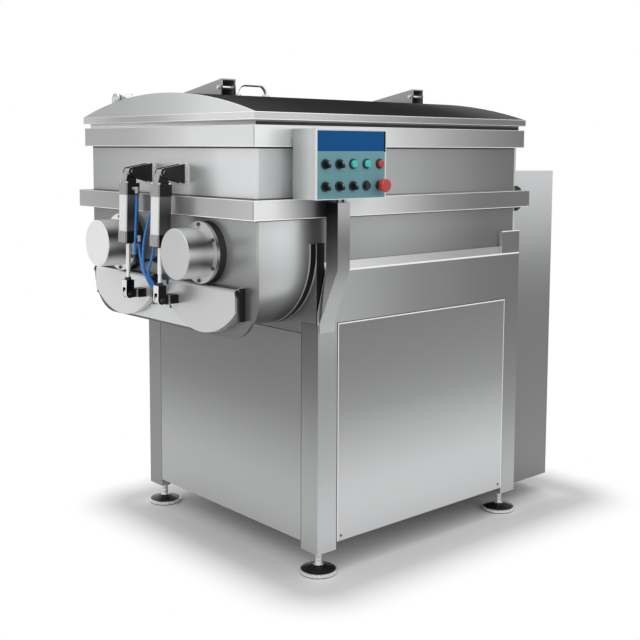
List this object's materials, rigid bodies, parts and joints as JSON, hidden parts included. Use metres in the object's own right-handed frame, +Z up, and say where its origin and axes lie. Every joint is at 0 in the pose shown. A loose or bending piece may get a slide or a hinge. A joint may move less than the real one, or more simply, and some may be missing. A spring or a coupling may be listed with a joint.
{
  "type": "vacuum meat mixer",
  "caption": "Twin-shaft vacuum meat mixer: domed lid over a twin-barrel trough, discharge doors on air cylinders, control box on a post, cabinet drive and levelling feet.",
  "frame": {"origin": "middle of the outline's footprint, on the floor that the feet stand on", "axes": "+X along the paddle shafts towards the drive cabinet, +Y towards the lid's hinge, +Z up"},
  "size_m": [1.553, 1.136, 1.516],
  "materials": {
    "black_plastic": "black, satin",
    "bright": "polished",
    "bronze": "satin",
    "cast_steel": "machined steel",
    "green": "gloss",
    "hose_blue": "blue tube, gloss",
    "painted_motor": "grey-blue machine paint",
    "red": "gloss",
    "rubber_black": "black, matt",
    "seal_white": "pale grey food-grade rubber",
    "steel": "brushed stainless steel",
    "steel_dark": "reflective stainless sheet, dark reflections",
    "teal_panel": "printed panel film, satin"
  },
  "bodies": {
    "base": {"base_frame": "steel", "end_panels": "steel", "side_panels": "steel", "aprons": "steel", "trough_saddles": "steel", "control_post": "steel", "levelling_feet": "bright", "trough_shell": "steel", "end_plate_discharge": "steel", "end_plate_drive": "steel", "rim_band": "steel", "belt_band": "steel", "bearing_housings": "steel", "shaft_seals": "rubber_black", "shaft_bearings": "bronze", "outlet_seat": "steel", "door_gaskets": "seal_white", "drive_cabinet": "steel", "cabinet_cover": "steel", "gearmotor": "painted_motor", "vacuum_pump": "painted_motor", "corner_buffers": "rubber_black", "lid_hinge_brackets": "steel", "cylinder_brackets": "steel_dark", "door_hinge_ears": "black_plastic", "air_manifold": "black_plastic", "control_box": "steel", "control_panel": "teal_panel", "control_bezels": "bright"},
    "lid": {"lid_shell": "steel", "lid_arms": "steel", "lid_seal": "seal_white", "lid_pins": "bright", "lid_vacuum_line": "bright"},
    "near_shaft": {"paddle_shaft_near": "steel", "paddles_near": "steel"},
    "far_shaft": {"paddle_shaft_far": "steel", "paddles_far": "steel"},
    "drive_pinion": {"drive_pinion": "cast_steel"},
    "idler_gear": {"idler_gear": "cast_steel"},
    "near_door": {"door_near": "steel"},
    "far_door": {"door_far": "steel"},
    "near_cylinder": {"cylinder_near": "black_plastic", "air_hose_near_top": "hose_blue", "air_hose_near_low": "hose_blue"},
    "far_cylinder": {"cylinder_far": "black_plastic", "air_hose_far_top": "hose_blue", "air_hose_far_low": "hose_blue"},
    "near_rod": {"rod_near": "bright"},
    "far_rod": {"rod_far": "bright"},
    "start_button_1": {"start_button_1": "green"},
    "start_button_2": {"start_button_2": "green"},
    "stop_button": {"stop_button": "red"},
    "reset_button": {"reset_button": "black_plastic"},
    "emergency_stop": {"emergency_stop": "red"},
    "selector_1": {"selector_1": "black_plastic"},
    "selector_2": {"selector_2": "black_plastic"},
    "selector_3": {"selector_3": "black_plastic"},
    "selector_4": {"selector_4": "black_plastic"},
    "selector_5": {"selector_5": "black_plastic"}
  },
  "joints": [
    {"name": "lid_hinge", "type": "hinge", "parent": "base", "child": "lid", "pos_m": [-0.081, 0.546, 1.467], "axis": [-1, 0, 0], "range_deg": [0, 85]},
    {"name": "near_shaft_spin", "type": "hinge", "parent": "base", "child": "near_shaft", "pos_m": [-0.6465, -0.179, 0.992], "axis": [1, 0, 0], "continuous": true},
    {"name": "far_shaft_spin", "type": "hinge", "parent": "base", "child": "far_shaft", "pos_m": [-0.6465, 0.271, 0.992], "axis": [1, 0, 0], "continuous": true},
    {"name": "drive_pinion_spin", "type": "hinge", "parent": "base", "child": "drive_pinion", "pos_m": [0.5775, -0.029, 0.992], "axis": [1, 0, 0], "continuous": true},
    {"name": "idler_gear_spin", "type": "hinge", "parent": "base", "child": "idler_gear", "pos_m": [0.5775, 0.121, 0.992], "axis": [1, 0, 0], "continuous": true},
    {"name": "near_door_hinge", "type": "hinge", "parent": "base", "child": "near_door", "pos_m": [-0.6768, -0.179, 0.887], "axis": [0, 1, 0], "range_deg": [0, 55]},
    {"name": "near_cylinder_swing", "type": "hinge", "parent": "base", "child": "near_cylinder", "pos_m": [-0.7325, -0.046, 1.225], "axis": [0, 1, 0], "range_deg": [0, 2.11]},
    {"name": "near_rod_slide", "type": "slide", "parent": "near_cylinder", "child": "near_rod", "axis": [0.0286, 0, 0.9996], "range_m": [0, 0.0723]},
    {"name": "far_door_hinge", "type": "hinge", "parent": "base", "child": "far_door", "pos_m": [-0.6768, 0.271, 0.887], "axis": [0, 1, 0], "range_deg": [0, 55]},
    {"name": "far_cylinder_swing", "type": "hinge", "parent": "base", "child": "far_cylinder", "pos_m": [-0.7325, 0.138, 1.225], "axis": [0, 1, 0], "range_deg": [0, 2.11]},
    {"name": "far_rod_slide", "type": "slide", "parent": "far_cylinder", "child": "far_rod", "axis": [0.0286, 0, 0.9996], "range_m": [0, 0.0723]},
    {"name": "selector_1_turn", "type": "hinge", "parent": "base", "child": "selector_1", "pos_m": [-0.5105, -0.535, 1.2555], "axis": [0, 1, 0], "range_deg": [0, 60]},
    {"name": "selector_2_turn", "type": "hinge", "parent": "base", "child": "selector_2", "pos_m": [-0.4577, -0.535, 1.2555], "axis": [0, 1, 0], "range_deg": [0, 60]},
    {"name": "selector_3_turn", "type": "hinge", "parent": "base", "child": "selector_3", "pos_m": [-0.5105, -0.535, 1.1928], "axis": [0, 1, 0], "range_deg": [0, 60]},
    {"name": "selector_4_turn", "type": "hinge", "parent": "base", "child": "selector_4", "pos_m": [-0.4577, -0.535, 1.1928], "axis": [0, 1, 0], "range_deg": [0, 60]},
    {"name": "selector_5_turn", "type": "hinge", "parent": "base", "child": "selector_5", "pos_m": [-0.4049, -0.535, 1.1928], "axis": [0, 1, 0], "range_deg": [0, 60]},
    {"name": "start_button_1_press", "type": "slide", "parent": "base", "child": "start_button_1", "axis": [0, 1, 0], "range_m": [0, 0.004], "stiffness_N_per_m": 400, "springref_m": -0.004},
    {"name": "start_button_2_press", "type": "slide", "parent": "base", "child": "start_button_2", "axis": [0, 1, 0], "range_m": [0, 0.004], "stiffness_N_per_m": 400, "springref_m": -0.004},
    {"name": "stop_button_press", "type": "slide", "parent": "base", "child": "stop_button", "axis": [0, 1, 0], "range_m": [0, 0.004], "stiffness_N_per_m": 400, "springref_m": -0.004},
    {"name": "reset_button_press", "type": "slide", "parent": "base", "child": "reset_button", "axis": [0, 1, 0], "range_m": [0, 0.004], "stiffness_N_per_m": 400, "springref_m": -0.004},
    {"name": "emergency_stop_press", "type": "slide", "parent": "base", "child": "emergency_stop", "axis": [0, 1, 0], "range_m": [0, 0.004], "stiffness_N_per_m": 700, "springref_m": -0.005}
  ],
  "couplings": [
    {"joint": "far_shaft_spin", "follows": "near_shaft_spin", "ratio": -1},
    {"joint": "drive_pinion_spin", "follows": "near_shaft_spin", "ratio": -1},
    {"joint": "idler_gear_spin", "follows": "near_shaft_spin", "ratio": 1},
    {"joint": "near_cylinder_swing", "follows": "near_door_hinge", "ratio": 0.0381},
    {"joint": "near_rod_slide", "follows": "near_door_hinge", "m_per_rad": 0.07475},
    {"joint": "far_cylinder_swing", "follows": "far_door_hinge", "ratio": 0.0381},
    {"joint": "far_rod_slide", "follows": "far_door_hinge", "m_per_rad": 0.07475}
  ]
}
